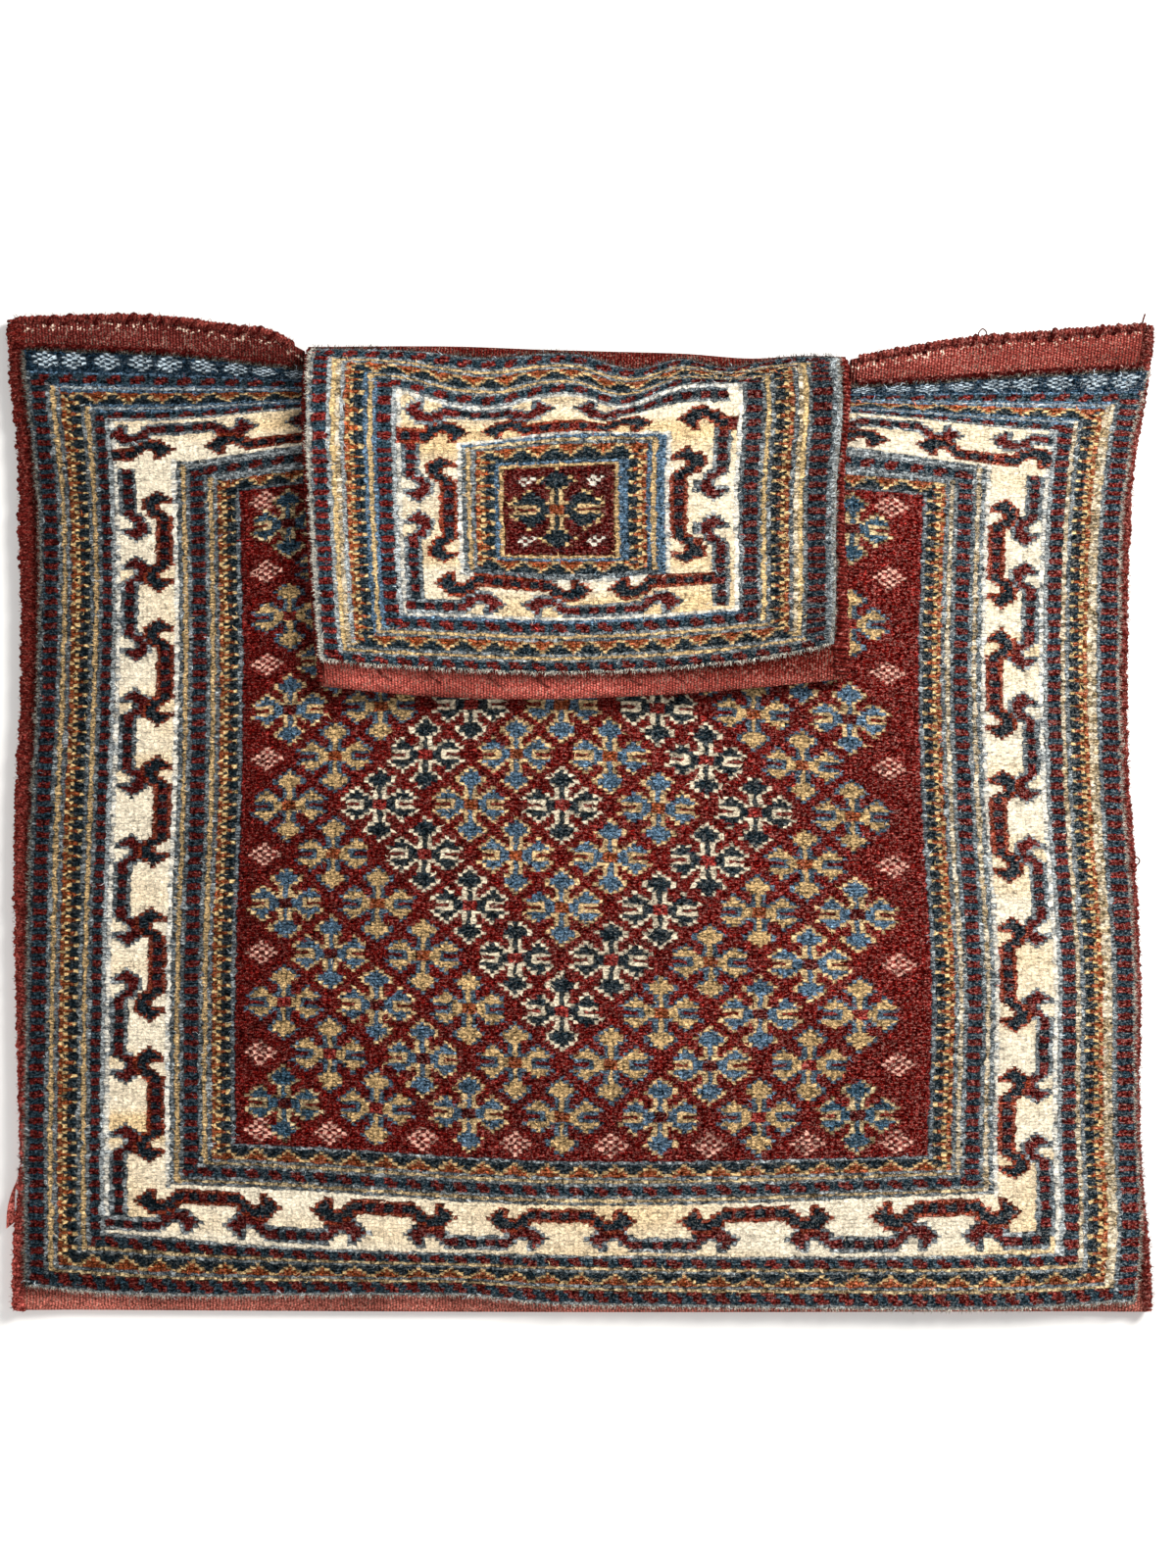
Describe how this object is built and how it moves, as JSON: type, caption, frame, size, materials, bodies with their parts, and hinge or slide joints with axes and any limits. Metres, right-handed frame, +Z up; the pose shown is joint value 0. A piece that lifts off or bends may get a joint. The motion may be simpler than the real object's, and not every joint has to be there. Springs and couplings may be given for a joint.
{
  "type": "salt bag",
  "caption": "Flat knotted wool storage bag with a narrow neck folded down over its patterned front, plain woven back and overcast edges.",
  "frame": {"origin": "centre of the bag's outline on the floor it lies on, under its back", "axes": "+X across the bag to its right as its front is seen, +Y from the bottom fold to the shoulders, +Z up out of the patterned front"},
  "size_m": [0.5063, 0.4394, 0.0276],
  "materials": {
    "plain_weave": "madder red weft-faced plain weave in wool",
    "overcast_yarn": "dark red two-ply wool yarn, fuzzy",
    "field_pile": "madder red knotted wool pile with a lattice of small flowers",
    "guard_pile": "knotted wool pile in narrow stripes of blue, ochre, rust and red",
    "border_pile": "ivory knotted wool pile with a chain of hooks"
  },
  "bodies": {
    "root": {"ground_cloth": "plain_weave", "front_outer_guard_pile": "guard_pile", "front_main_border_pile": "border_pile", "front_inner_guard_pile": "guard_pile", "front_field_pile": "field_pile", "neck_outer_guard_pile": "guard_pile", "neck_main_border_pile": "border_pile", "neck_inner_guard_pile": "guard_pile", "neck_field_pile": "field_pile", "left_side_overcast": "overcast_yarn", "right_side_overcast": "overcast_yarn", "neck_left_overcast": "overcast_yarn", "neck_right_overcast": "overcast_yarn", "left_shoulder_overcast": "overcast_yarn", "right_shoulder_overcast": "overcast_yarn", "left_shoulder_cord": "overcast_yarn", "right_shoulder_cord": "overcast_yarn"}
  },
  "joints": []
}
